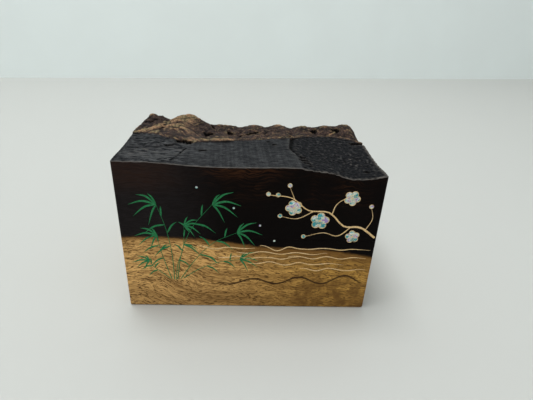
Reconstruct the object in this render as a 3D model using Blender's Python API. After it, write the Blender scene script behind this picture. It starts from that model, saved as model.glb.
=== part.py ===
"""Incense box cut from one block of dark figured wood.

The block is split level at mid height into a hollow lower half and a lift-off lid.
A low lip round the lower half's hollow enters a rebate in the lid.
The lid's top is worked flat at the front, and keeps the trunk's own rough skin at the back.

Metres, +Z up. The origin is at the centre of the underside, and the front faces -Y.
"""

import math

import bmesh
import bpy
from mathutils import Matrix, Vector, noise

# Block
WIDTH = 0.0750  # along X
DEPTH = 0.0485  # along Y
HEIGHT = 0.0496  # up to the front left corner of the top
SEAM_HEIGHT = 0.0260  # top of the lower half, where the lid rests
EDGE_RADIUS = 0.0005  # eased outer edges

# Hollow and closure
SEAT_WIDTH = 0.0045  # flat land round the lip that carries the lid
LIP_THICKNESS = 0.0020
LIP_HEIGHT = 0.0022  # above the seam
FLOOR = 0.0060  # wood under the hollow
ROOF = 0.0075  # wood over the hollow, at the lowest spot of the top
HOLLOW_CORNER_RADIUS = 0.0080  # upright corners of the hollow
HOLLOW_FILLET = 0.0030  # where its sides meet its floor and its ceiling
FIT_GAP = 0.0003  # between the lid and the lower half, on every face
OVERLAP = 0.0010  # how far joined blocks and cutters run past each other

# Heights of the relief on the top
VALLEY_DEPTH = 0.0010  # behind the line where the worked face ends
VALLEY_ONSET = 0.10  # width at the left end over which the valley sets in
HUMP_HEIGHT = 0.0009  # knuckle at the back left
SCOOP_DEPTH = 0.0007  # worn hollow at the front left
STEP_HEIGHT = 0.0004  # ragged step at the right end of the planed patch
BACK_ROLL = 0.0016  # how far the top rolls over at its back edge
SKIN_ROUGHNESS = 0.00055  # lumps of the rough skin
WORKED_ROUGHNESS = 0.00012  # waviness of the worked face
LUMP_SIZE = 0.0045
GRID_PITCH = 0.00125  # spacing of the points that carry the relief

# Places on the top, as shares of the width from the left and of the depth from the front
CREST = 0.93  # the back crest
BACK_EDGE = 1.06  # where the roll behind the crest would end
LINE_BLEND = 0.30  # depth over which the front edge's line gives way to the middle's
FRONT_CALM = 0.10  # depth over which the worked face's waviness sets in
SKIN_ONSET = 0.35  # share of the way to the crest over which the rough skin sets in
LEFT_CALM = 0.06  # width at the left end where the crest keeps its full height
HUMP_FROM = (0.09, 0.66)
HUMP_TO = (0.165, 0.93)
HUMP_SPREAD = 0.075
SCOOP_CENTRE = (0.150, 0.20)
SCOOP_RADII = (0.11, 0.14)
STEP_PLACE = 0.665
STEP_WIDTH = 0.02
STEP_WANDER = 0.02
STEP_WAVES = 9.0
STEP_SEED = 3.0
STEP_ONSET = (0.06, 0.20)

# Fall below the front left corner, in metres, by the share of the width
FRONT_LINE = (
    (0.00, 0.0000),
    (0.14, 0.0000),
    (0.28, 0.0007),
    (0.40, 0.0009),
    (0.53, 0.0007),
    (0.66, 0.0005),
    (0.74, 0.0012),
    (0.80, 0.0018),
    (0.86, 0.0032),
    (0.93, 0.0031),
    (1.00, 0.0021),
)
MIDDLE_LINE = (
    (0.00, 0.0005),
    (0.12, 0.0005),
    (0.25, 0.0009),
    (0.50, 0.0009),
    (0.65, 0.0008),
    (0.78, 0.0022),
    (0.90, 0.0030),
    (1.00, 0.0029),
)
# One point for each knuckle of the crest, and one for each dip between them
CREST_LINE = (
    (0.000, 0.0013),
    (0.030, 0.0014),
    (0.070, 0.0021),
    (0.105, 0.0026),
    (0.140, 0.0018),
    (0.185, 0.0017),
    (0.225, 0.0019),
    (0.255, 0.0027),
    (0.285, 0.0036),
    (0.312, 0.0041),
    (0.350, 0.0037),
    (0.435, 0.0047),
    (0.505, 0.0038),
    (0.570, 0.0043),
    (0.635, 0.0033),
    (0.690, 0.0045),
    (0.740, 0.0034),
    (0.790, 0.0039),
    (0.865, 0.0028),
    (0.910, 0.0033),
    (0.960, 0.0020),
    (0.980, 0.0026),
    (1.000, 0.0042),
)
# Where the worked face ends and the rough skin begins: share of the depth by share of the width
SKIN_LINE = (
    (0.00, 0.485),
    (0.09, 0.487),
    (0.14, 0.437),
    (0.19, 0.405),
    (0.25, 0.370),
    (0.30, 0.392),
    (0.42, 0.422),
    (0.54, 0.462),
    (0.62, 0.484),
    (0.70, 0.575),
    (0.76, 0.640),
    (0.86, 0.705),
    (0.92, 0.695),
    (0.96, 0.620),
    (1.00, 0.560),
)

# Smoothness of the rounded forms
EDGE_SEGMENTS = 2
CORNER_SEGMENTS = 8
FILLET_SEGMENTS = 4
SHARP_ANGLE = math.radians(30)
CORNER_ANGLE = math.radians(45)  # an upright edge that turns more than this is a corner
SAME_PLACE = 1e-6  # heights and points closer than this are the same

WALL = SEAT_WIDTH + LIP_THICKNESS
LID_BOTTOM = SEAM_HEIGHT + FIT_GAP
LIP_TOP = SEAM_HEIGHT + LIP_HEIGHT
LIP_CORNER_RADIUS = HOLLOW_CORNER_RADIUS + LIP_THICKNESS

WOOD_BLACK = (0.018, 0.014, 0.012, 1.0)
WOOD_BROWN = (0.270, 0.150, 0.060, 1.0)
WOOD_ROUGHNESS = 0.45


# Scene and materials


def clear_scene():
    for old in list(bpy.data.objects):
        bpy.data.objects.remove(old)


def new_collection(name):
    made = bpy.data.collections.new(name)
    bpy.context.scene.collection.children.link(made)
    return made


def wood(name, colour):
    material = bpy.data.materials.new(name)
    material.use_nodes = True
    shader = material.node_tree.nodes["Principled BSDF"]
    shader.inputs["Base Color"].default_value = colour
    shader.inputs["Roughness"].default_value = WOOD_ROUGHNESS
    shader.inputs["Metallic"].default_value = 0.0
    material.diffuse_color = colour
    return material


def object_from(name, bm, collection):
    mesh = bpy.data.meshes.new(name)
    bm.to_mesh(mesh)
    bm.free()
    made = bpy.data.objects.new(name, mesh)
    collection.objects.link(made)
    return made


# Curves and blends


def smooth(low, high, value):
    """0 up to low, 1 from high, and an even rise between them."""
    share = min(1.0, max(0.0, (value - low) / (high - low)))
    return share * share * (3.0 - 2.0 * share)


def mix(first, second, share):
    return first + (second - first) * share


def along(line, place):
    """Value of the smooth curve through the line's points, at this place on it."""
    last = len(line) - 2
    index = next((i for i in range(last) if place < line[i + 1][0]), last)
    (x1, y1), (x2, y2) = line[index], line[index + 1]
    x0, y0 = line[index - 1] if index > 0 else (2 * x1 - x2, y1)
    x3, y3 = line[index + 2] if index < last else (2 * x2 - x1, y2)
    start_slope = (y2 - y0) / (x2 - x0) * (x2 - x1)
    end_slope = (y3 - y1) / (x3 - x1) * (x2 - x1)
    t = min(1.0, max(0.0, (place - x1) / (x2 - x1)))
    points = y1 + (y2 - y1) * t * t * (3 - 2 * t)
    return points + start_slope * t * (1 - t) ** 2 - end_slope * t * t * (1 - t)


def nearness(point, start, end, spread):
    """1 on the stretch from start to end, falling away all round it."""
    ray = end - start
    share = min(1.0, max(0.0, (point - start).dot(ray) / ray.length_squared))
    return math.exp(-(((point - start - ray * share).length / spread) ** 2))


# Relief of the top


def scoop(across, back):
    """Depth of the worn hollow at the front left."""
    side = (across - SCOOP_CENTRE[0]) / SCOOP_RADII[0]
    end = (back - SCOOP_CENTRE[1]) / SCOOP_RADII[1]
    return SCOOP_DEPTH * (1.0 - smooth(0.2, 1.0, math.hypot(side, end)))


def ragged_step(across, back):
    """Drop to the right of the planed patch."""
    wander = STEP_WANDER * noise.noise(Vector((STEP_SEED, back * STEP_WAVES, 0.0)))
    past = across - STEP_PLACE - wander
    return STEP_HEIGHT * smooth(0.0, STEP_WIDTH, past) * smooth(*STEP_ONSET, back)


def worked_drop(across, back, grain):
    """Fall of the worked front part."""
    line = mix(along(FRONT_LINE, across), along(MIDDLE_LINE, across), smooth(0.0, LINE_BLEND, back))
    waviness = WORKED_ROUGHNESS * grain * smooth(0.0, FRONT_CALM, back)
    return line + scoop(across, back) + ragged_step(across, back) + waviness


def skin_rise(across, back, share, grain):
    """Height that the rough skin adds, by its share of the way from where it starts to the crest."""
    place = Vector((across, back))
    hump = HUMP_HEIGHT * nearness(place, Vector(HUMP_FROM), Vector(HUMP_TO), HUMP_SPREAD)
    valley = VALLEY_DEPTH * math.sin(math.pi * min(1.0, share)) ** 2 * smooth(0.0, VALLEY_ONSET, across)
    roll = BACK_ROLL * smooth(0.0, LEFT_CALM, across) * smooth(CREST, BACK_EDGE, back)
    return (hump + SKIN_ROUGHNESS * grain) * smooth(0.0, SKIN_ONSET, share) - valley - roll


def top_height(x, y):
    """Height of the lid's top over a point of the plan."""
    across = x / WIDTH + 0.5
    back = y / DEPTH + 0.5
    grain = noise.noise(Vector((x, y, 0.0)) / LUMP_SIZE)
    skin_starts = along(SKIN_LINE, across)
    share = max(0.0, (back - skin_starts) / (CREST - skin_starts))
    worked = worked_drop(across, min(back, skin_starts), grain)
    drop = mix(worked, along(CREST_LINE, across), smooth(0.0, 1.0, share))
    return HEIGHT - drop + skin_rise(across, back, share, grain)


def relief_grid():
    """Columns and rows of the relief."""
    return round(WIDTH / GRID_PITCH), round(DEPTH / GRID_PITCH)


def lowest_top():
    columns, rows = relief_grid()
    return min(
        top_height(WIDTH * (i / columns - 0.5), DEPTH * (j / rows - 0.5))
        for i in range(columns + 1)
        for j in range(rows + 1)
    )


# Solids


def plan_inside(inset):
    """Width and depth of the block's plan, taken in by the same amount on every side."""
    return WIDTH - 2 * inset, DEPTH - 2 * inset


def corner_edges(bm):
    """The upright edges at the corners of a block's plan."""
    return [
        edge
        for edge in bm.edges
        if (edge.verts[0].co.xy - edge.verts[1].co.xy).length < SAME_PLACE
        and edge.calc_face_angle(0.0) > CORNER_ANGLE
    ]


def rim_edges(bm, height):
    """The edges that lie at this height."""
    return [e for e in bm.edges if all(abs(v.co.z - height) < SAME_PLACE for v in e.verts)]


def round_edges(bm, edges, radius, segments):
    bmesh.ops.bevel(
        bm,
        geom=edges,
        offset=radius,
        offset_type="OFFSET",
        segments=segments,
        profile=0.5,
        affect="EDGES",
        material=-1,
        clamp_overlap=True,
    )


def solid_block(name, collection, plan, bottom, top, corner_radius, segments, rim=None):
    """A block with round upright corners. A rim is the height, radius and segments of an eased end."""
    bm = bmesh.new()
    size = Matrix.Diagonal((*plan, top - bottom, 1.0))
    middle = Matrix.Translation((0.0, 0.0, (bottom + top) / 2))
    bmesh.ops.create_cube(bm, size=1.0, matrix=middle @ size)
    round_edges(bm, corner_edges(bm), corner_radius, segments)
    if rim:
        height, radius, rim_segments = rim
        round_edges(bm, rim_edges(bm, height), radius, rim_segments)
    return object_from(name, bm, collection)


def hollow_cutter(name, collection, bottom, top, blind_end):
    """The hollow's shape between two heights, with a fillet round its blind end."""
    fillet = (blind_end, HOLLOW_FILLET, FILLET_SEGMENTS)
    plan = plan_inside(WALL)
    return solid_block(
        name, collection, plan, bottom, top, HOLLOW_CORNER_RADIUS, CORNER_SEGMENTS, fillet
    )


def combine(target, other, operation):
    """Joins or cuts the target with a helper, which is then shown as a wire only."""
    other.hide_render = True
    other.display_type = "WIRE"
    modifier = target.modifiers.new(other.name, "BOOLEAN")
    modifier.operation = operation
    modifier.solver = "EXACT"
    modifier.object = other


def lower_half(parts, helpers):
    """The hollow lower block, with the lip that centres the lid."""
    foot = (0.0, EDGE_RADIUS, EDGE_SEGMENTS)
    base = solid_block(
        "lower_half", parts, (WIDTH, DEPTH), 0.0, SEAM_HEIGHT, EDGE_RADIUS, EDGE_SEGMENTS, foot
    )
    lip = solid_block(
        "lip",
        helpers,
        plan_inside(SEAT_WIDTH),
        SEAM_HEIGHT - OVERLAP,
        LIP_TOP,
        LIP_CORNER_RADIUS,
        CORNER_SEGMENTS,
    )
    combine(base, lip, "UNION")
    hollow = hollow_cutter("lower_hollow", helpers, FLOOR, LIP_TOP + OVERLAP, FLOOR)
    combine(base, hollow, "DIFFERENCE")
    return base


def lid_blank(parts):
    """The solid lid: a grid laid over the relief, and drawn down to the seam."""
    columns, rows = relief_grid()
    bm = bmesh.new()
    plan = Matrix.Diagonal((WIDTH, DEPTH, 1.0, 1.0))
    bmesh.ops.create_grid(bm, x_segments=columns, y_segments=rows, size=0.5, matrix=plan)
    extruded = bmesh.ops.extrude_face_region(bm, geom=list(bm.faces), use_keep_orig=True)
    raised = {v for v in extruded["geom"] if isinstance(v, bmesh.types.BMVert)}
    for vertex in bm.verts:
        vertex.co.z = top_height(vertex.co.x, vertex.co.y) if vertex in raised else LID_BOTTOM
    bmesh.ops.recalc_face_normals(bm, faces=bm.faces)
    underside = [face for face in bm.faces if raised.isdisjoint(face.verts)]
    bmesh.ops.dissolve_faces(bm, faces=underside)
    round_edges(bm, corner_edges(bm), EDGE_RADIUS, EDGE_SEGMENTS)
    return object_from("lid", bm, parts)


def lid(parts, helpers):
    """The upper block, hollowed from below, with the rebate that takes the lip."""
    upper = lid_blank(parts)
    rebate = solid_block(
        "rebate",
        helpers,
        plan_inside(SEAT_WIDTH - FIT_GAP),
        LID_BOTTOM - OVERLAP,
        LIP_TOP + FIT_GAP,
        LIP_CORNER_RADIUS + FIT_GAP,
        CORNER_SEGMENTS,
    )
    combine(upper, rebate, "DIFFERENCE")
    ceiling = lowest_top() - ROOF
    hollow = hollow_cutter("lid_hollow", helpers, LID_BOTTOM - OVERLAP, ceiling, ceiling)
    combine(upper, hollow, "DIFFERENCE")
    return upper


def main():
    clear_scene()
    parts = new_collection("incense_box")
    helpers = new_collection("cutters")
    pieces = (
        (lower_half(parts, helpers), wood("brown wood", WOOD_BROWN)),
        (lid(parts, helpers), wood("black wood", WOOD_BLACK)),
    )
    for piece, material in pieces:
        piece.data.materials.append(material)
        piece.data.shade_smooth()
        piece.data.set_sharp_from_angle(angle=SHARP_ANGLE)


main()
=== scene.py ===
"""Looks of a two-piece incense box cut from one block of dark figured wood.

The wood's figure runs through the whole block: black heartwood in the upper front, brown wood
below and behind. The lid's top keeps a worked, matte black face and the trunk's own rough skin.
The front carries fine lacquer drawing with shell set into it.
Metres, +Z up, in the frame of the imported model. The front faces -Y.
"""

import math

import bmesh
import bpy
from bpy.props import FloatProperty, FloatVectorProperty, PointerProperty
from mathutils import Matrix, Vector, noise
from mathutils.bvhtree import BVHTree
from mathutils.geometry import interpolate_bezier


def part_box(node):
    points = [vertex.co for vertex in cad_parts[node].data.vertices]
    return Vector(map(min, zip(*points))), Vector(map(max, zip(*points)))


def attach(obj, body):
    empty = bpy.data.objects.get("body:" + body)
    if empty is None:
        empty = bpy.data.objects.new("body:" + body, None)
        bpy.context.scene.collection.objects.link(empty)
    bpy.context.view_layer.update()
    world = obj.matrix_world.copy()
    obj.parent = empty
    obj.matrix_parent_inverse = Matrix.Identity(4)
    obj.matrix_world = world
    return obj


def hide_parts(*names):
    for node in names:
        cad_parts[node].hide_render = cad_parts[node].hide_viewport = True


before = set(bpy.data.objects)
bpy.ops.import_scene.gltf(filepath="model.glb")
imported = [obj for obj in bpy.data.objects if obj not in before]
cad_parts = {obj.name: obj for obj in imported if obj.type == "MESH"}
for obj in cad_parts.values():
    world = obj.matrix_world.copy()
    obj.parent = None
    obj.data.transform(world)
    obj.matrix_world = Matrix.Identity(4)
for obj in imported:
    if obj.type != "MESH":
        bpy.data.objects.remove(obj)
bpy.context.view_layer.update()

bl_info = {
    "name": "Incense box looks",
    "version": (1, 0, 0),
    "blender": (4, 5, 0),
    "location": "3D View > Sidebar > Incense box",
    "description": "Figured wood, carved top and lacquer drawing of a two-piece incense box",
    "category": "Object",
}

MM = 0.001
LOWER_LOW, LOWER_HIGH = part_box("lower_half")
LID_LOW, LID_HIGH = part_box("lid")
LEFT, FRONT = LID_LOW.x, LID_LOW.y
WIDTH = LID_HIGH.x - LEFT
DEPTH = LID_HIGH.y - FRONT

# Hollow and closure, as on the solids
SEAT_WIDTH = 4.5 * MM
LIP_THICKNESS = 2.0 * MM
FIT_GAP = 0.3 * MM
FLOOR = 6.0 * MM
LID_CEILING = 36.4 * MM
HOLLOW_RADIUS = 8.0 * MM
HOLLOW_FILLET = 3.0 * MM
BLOCK_RADIUS = 0.5 * MM
FILLET_SEGMENTS = 6
CORNER_SEGMENTS = 10
UPRIGHT_SEGMENTS, LEVEL_SEGMENTS = 4, 3
LIP_EASE = 0.2 * MM
SEAM_EASE = 0.06 * MM
SAME_PLACE = 1e-6


# Sizes and colours that a user would change


def measure(name, description, default, unit="NONE"):
    return FloatProperty(name=name, description=description, default=default, unit=unit)


def tint(name, description, default):
    return FloatVectorProperty(name=name, description=description, default=default, subtype="COLOR")


class BlockSettings(bpy.types.PropertyGroup):
    seam: measure("Joint line", "Height at which the lid meets the lower half", 0.026, "LENGTH")
    seam_gap: measure("Joint gap", "Hairline left between the lid and the lower half", 0.00004, "LENGTH")
    arris: measure("Eased edge", "Rounding of the top's outer edge", 0.00012, "LENGTH")
    pitch: measure("Relief pitch", "Spacing of the points of the top's fine relief", 0.00024, "LENGTH")


class WoodSettings(bpy.types.PropertyGroup):
    black: tint("Heartwood", "Polished black heartwood", (0.0030, 0.0020, 0.0018))
    # Painted reflection: a grey sheen on the heartwood towards the left
    painted_sheen: tint("Heartwood, left", "Greyer heartwood towards the left", (0.0150, 0.0125, 0.0128))
    umber: tint("Heartwood figure", "Reddish figure in the black wood", (0.052, 0.019, 0.0075))
    tan: tint("Brown wood, pale", "Light bands of the brown wood at the left", (0.72, 0.42, 0.150))
    amber: tint("Brown wood, amber", "Light bands of the brown wood at the right", (0.56, 0.31, 0.070))
    brown: tint("Brown wood, dark", "Dark bands and flecks of the brown wood", (0.150, 0.072, 0.020))
    fleck: tint("Flecks", "Short dark flecks of the brown wood", (0.070, 0.034, 0.012))
    line: tint("Mineral line", "Thin dark line low in the brown wood", (0.035, 0.017, 0.008))
    worked: tint("Worked face", "Matte black wood of the worked top", (0.066, 0.068, 0.071))
    torn: tint("Torn face", "Darker wood where the worked top is torn", (0.0058, 0.0062, 0.0078))
    # Pale rubbed wood and painted highlight, for the outer edge's line and the worked face's glints
    rubbed: tint("Rubbed edge", "Pale line along the worked top's outer edge", (0.150, 0.135, 0.120))
    skin: tint("Rough skin", "Weathered brown skin at the back of the top", (0.050, 0.033, 0.028))
    bark: tint("Rough skin, dark", "Dark patches of the rough skin", (0.015, 0.011, 0.012))
    # Worn light wood, with painted highlight where the crests face the light
    crest: tint("Worn crests", "Light wood where the rough skin is rubbed", (0.33, 0.200, 0.110))
    dull_crest: tint("Worn crests, dull", "Greener wood among the worn crests", (0.24, 0.185, 0.100))
    # Painted shade at the bottom of the holes
    hole: tint("Holes", "Bottom of the deepest holes", (0.002, 0.0017, 0.0015))
    lining: tint("Lining", "Dark lacquer inside the box", (0.012, 0.007, 0.005))
    lining_grain: tint("Lining, grain", "Wood that shows through the lining", (0.028, 0.014, 0.008))


class DrawingSettings(bpy.types.PropertyGroup):
    gold: tint("Gold", "Gold powder of the drawn lines", (1.0, 0.72, 0.35))
    green: tint("Green", "Green lacquer of the leaves", (0.008, 0.135, 0.040))
    sparse_gold: tint("Gold, sparse", "Ground that shows where the gold is sparse", (0.30, 0.17, 0.07))
    pale_gold: tint("Gold, pale", "Paler patches of the gold", (0.86, 0.66, 0.40))
    light_green: tint("Green, light", "Lighter patches of the leaves", (0.016, 0.20, 0.068))
    shell: tint("Shell", "Cream of the shell", (0.60, 0.68, 0.58))
    teal: tint("Shell, teal", "Teal that the shell drifts to", (0.03, 0.30, 0.34))
    violet: tint("Shell, violet", "Violet that the shell drifts to", (0.34, 0.24, 0.52))
    rise: measure("Line relief", "How far a drawn line stands proud of the wood", 0.00006, "LENGTH")


class StageSettings(bpy.types.PropertyGroup):
    floor: tint("Floor", "Plain pale floor", (0.47, 0.48, 0.46))
    wall: tint("Wall", "Plain pale wall behind", (0.79, 0.855, 0.845))
    mottle: tint("Mottle", "Faint mottle of the floor and the wall", (0.5, 0.5, 0.48))
    sky: measure("Room light", "Strength of the even light of the room", 0.56)
    window: measure("Window light", "Power of the soft window overhead", 7.2, "POWER")
    fill: measure("Fill light", "Power of the weak soft light in front", 1.3, "POWER")


# Curves, blends and distances

# Rough noise: how its lumps weaken and shrink from one size to the next, and its number of sizes
ROUGHNESS = 0.9, 2.1, 4


def clamped(value, low, high):
    return max(low, min(high, value))


def smooth(low, high, value):
    """0 up to low, 1 from high, and an even rise between them."""
    share = clamped((value - low) / (high - low), 0.0, 1.0)
    return share * share * (3.0 - 2.0 * share)


def bell(value, spread):
    return math.exp(-((value / spread) ** 2))


def along(line, place):
    """Value of the smooth curve through the line's points, at this place on it."""
    last = len(line) - 2
    index = next((i for i in range(last) if place < line[i + 1][0]), last)
    (x1, y1), (x2, y2) = line[index], line[index + 1]
    x0, y0 = line[index - 1] if index > 0 else (2 * x1 - x2, y1)
    x3, y3 = line[index + 2] if index < last else (2 * x2 - x1, y2)
    start_slope = (y2 - y0) / (x2 - x0) * (x2 - x1)
    end_slope = (y3 - y1) / (x3 - x1) * (x2 - x1)
    t = clamped((place - x1) / (x2 - x1), 0.0, 1.0)
    points = y1 + (y2 - y1) * t * t * (3 - 2 * t)
    return points + start_slope * t * (1 - t) ** 2 - end_slope * t * t * (1 - t)


def distance_to(path, place):
    """Distance from a place to the nearest point of a path of straight runs."""
    nearest = 1e9
    for start, end in zip(path, path[1:]):
        ray = end - start
        share = clamped((place - start).dot(ray) / ray.length_squared, 0.0, 1.0)
        nearest = min(nearest, (place - start - ray * share).length)
    return nearest


def beside(place, path, reach):
    """1 on the path, and less and less away from it."""
    return bell(distance_to(path, place), reach)


def about(place, centre, reach):
    """1 at the centre of a round patch, and less and less away from it."""
    return bell((place - centre).length, reach)


def grain_at(u, w, size_u, size_w, seed):
    """Even noise from -1 to 1 over the plan, with lumps of this size."""
    return noise.noise(Vector((u / size_u, w / size_w, seed)))


def rough_at(u, w, size_u, size_w, seed):
    """Noise with finer and finer lumps over the plan."""
    return noise.fractal(Vector((u / size_u, w / size_w, seed)), *ROUGHNESS)


# Fine relief of the top. Places are (from the left, from the front), and heights are in millimetres.
# Worn and smooth values of the top, which also carry painted highlight and shade, mostly run from 0, dark
# and rough, to 1, rubbed and smooth


def places(*pairs):
    return [Vector(pair) for pair in pairs]


SKIN_EDGE = (
    (0.0, 23.3), (4.0, 23.8), (7.6, 23.2), (10.4, 21.3), (13.7, 19.9), (17.8, 18.7), (19.2, 17.9),
    (22.0, 18.9), (27.5, 19.4), (31.5, 20.6), (36.8, 21.6), (43.0, 22.9), (46.3, 23.4), (48.6, 24.3),
    (51.5, 27.0), (55.2, 30.1), (59.0, 32.2), (64.6, 34.3), (68.1, 33.8), (71.2, 32.1), (75.0, 29.0),
)
LONG_RIDGE = places(
    (-0.5, 24.4), (2.0, 25.6), (4.0, 27.2), (5.4, 30.6), (6.4, 34.4), (9.6, 35.0), (12.8, 34.9),
    (15.0, 32.8), (17.5, 29.2), (20.5, 22.9), (23.0, 21.0), (29.0, 21.0),
)
SHORT_RIDGE = places((5.4, 37.0), (7.2, 39.6), (9.3, 40.8), (11.6, 41.4), (14.0, 43.8), (16.0, 46.0))
CORNER_VALLEY = places((3.0, 37.0), (4.4, 40.5), (5.8, 43.0), (7.0, 44.4), (7.8, 48.4))
HUMP_FLANK = places((19.0, 43.4), (20.8, 39.4), (20.6, 35.5), (22.4, 33.0))
# Where the left slope of the skin, darkened with painted shade, ends, by the distance from the front
SLOPE_END = (
    (23.0, 0.0), (25.0, 1.0), (26.5, 2.6), (28.5, 3.8), (31.0, 4.7), (36.0, 5.3), (38.7, 6.5),
    (41.2, 7.8), (43.0, 9.2), (45.0, 9.6), (48.5, 9.0),
)
# Round patches of the top: centre and reach
HUMP_CROWN = Vector((16.2, 40.8)), 3.4
LOW_MOUND = Vector((26.8, 25.2)), 4.2
CORNER_TIP = Vector((0.8, 46.6)), 1.5
STAIN = Vector((43.4, 17.5)), 3.6
# How far each form of the top reaches to either side
RIDGE_REACH, FLANK_REACH, VALLEY_REACH, SHADE_REACH = 2.2, 4.2, 2.1, 2.6
KNUCKLE_REACH, FURROW_REACH, SPLINTER_REACH, CRACK_REACH = 2.3, 0.7, 0.35, 0.32
# Lip and gully of the skin: how far behind the worked face they run, and their reach
LIP_PLACE, LIP_REACH = 1.7, 2.1
GULLY_PLACE, GULLY_REACH = 4.6, 1.8
CRACK = places((15.2, 2.6), (16.0, 6.3), (16.8, 9.8), (18.0, 13.4))
KNUCKLES = (0.6, 13.6, 26.6, 38.0, 47.4, 56.0, 64.6, 71.9)
FURROWS = (7.4, 21.9, 32.9, 42.2, 51.6, 60.0, 68.4)
# Each hole: place, half length, half width, turn in degrees, depth
HOLES = (
    (1.8, 39.0, 1.5, 0.42, 62, 0.9),
    (2.9, 42.0, 1.3, 0.40, 62, 0.8),
    (1.0, 42.6, 1.0, 0.34, 55, 0.6),
    (12.8, 15.2, 1.3, 0.50, 5, 0.6),
    (12.9, 35.6, 0.6, 0.5, 0, 0.8),
    (15.9, 19.0, 1.6, 1.25, 0, 1.7),
    (18.3, 17.9, 0.8, 1.1, -40, 1.5),
    (22.6, 34.4, 1.5, 1.4, 20, 1.6),
    (23.0, 12.2, 1.2, 0.55, 8, 0.4),
    (23.5, 42.8, 0.35, 1.6, 15, 0.9),
    (26.9, 43.6, 0.5, 0.4, 0, 0.6),
    (29.7, 37.4, 0.8, 1.9, 15, 1.6),
    (32.6, 36.0, 1.8, 0.60, 0, 0.9),
    (37.2, 36.9, 2.9, 1.15, 42, 1.8),
    (44.2, 18.2, 0.6, 0.5, 0, 0.45),
    (42.4, 20.6, 0.5, 0.4, 0, 0.35),
    (48.9, 26.9, 1.2, 0.65, 20, 1.0),
    (59.8, 42.2, 1.0, 1.4, 0, 1.5),
    (64.4, 38.2, 1.7, 0.80, 3, 1.2),
    (67.9, 42.9, 1.3, 1.2, 10, 1.4),
    (70.3, 5.2, 0.8, 0.8, 0, 0.5),
    (72.9, 28.9, 2.4, 0.95, 3, 2.2),
)
# How ragged a hole's edge is, and where its wall begins and ends, as shares of its half size
RAGGEDNESS, HOLE_WALL = 0.45, (0.55, 1.35)
# Nicks along the planed patch's right end, in the same way
NOTCHES = (
    (51.9, 10.7, 1.2, 0.65, 0, 1.1),
    (52.3, 8.2, 1.3, 0.65, 0, 1.1),
    (52.9, 5.6, 1.0, 0.65, -12, 0.9),
    (54.0, 3.5, 0.8, 0.45, 0, 0.5),
)
# Depth from which a hole is painted quite dark with shade, and rubbing that the skin takes before it shows
DARK_DEPTH, WEAR_START = 0.16, 0.12
# Pale splinter that stands out of the skin at the right
SPLINTER = places((64.6, 39.0), (67.6, 41.4))
SCRAPED_CENTRE, SCRAPED_RADII, SCRAPED_TURN = Vector((9.8, 8.6)), (9.2, 5.4), 25
RING_CENTRE, RING_SPACING, RING_REACH = Vector((68.6, 14.6)), 1.3, (4.0, 7.5)
PLANED_FROM = 19.0
# Right end of the planed patch, by the distance from the front
PLANED_END = (
    (0.0, 51.3), (3.5, 51.1), (7.0, 51.0), (10.4, 50.9), (12.0, 49.8), (14.0, 49.0), (17.0, 48.6),
    (20.0, 48.9), (24.0, 49.4), (30.0, 49.4),
)


def turned(offset, degrees):
    """The offset as seen by something turned by this angle."""
    return Matrix.Rotation(math.radians(-degrees), 2) @ offset


def hole_depth(place):
    """How far the ragged holes go down at a place."""
    deepest = 0.0
    for u, w, length, width, turn, depth in (*HOLES, *NOTCHES):
        offset = place - Vector((u, w))
        if offset.length > 2 * max(length, width):
            continue
        offset = turned(offset, turn)
        ragged = 1.0 + RAGGEDNESS * grain_at(place.x, place.y, 0.5, 0.5, seed=7.0)
        reach = math.hypot(offset.x / length, offset.y / width) * ragged
        deepest = max(deepest, depth * (1.0 - smooth(*HOLE_WALL, reach)))
    return deepest


def furrow_between(u, w, behind):
    """Strength of the furrows that part the crest's knuckles, which run out on the crest itself."""
    wander = 1.1 * grain_at(w, 0.0, 3.0, 1.0, seed=15.0)
    deepest = max(bell(u - middle - wander, FURROW_REACH) for middle in FURROWS)
    return deepest * smooth(3.0, 7.0, behind) * (1.0 - 0.85 * smooth(40.0, 44.5, w))


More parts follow.
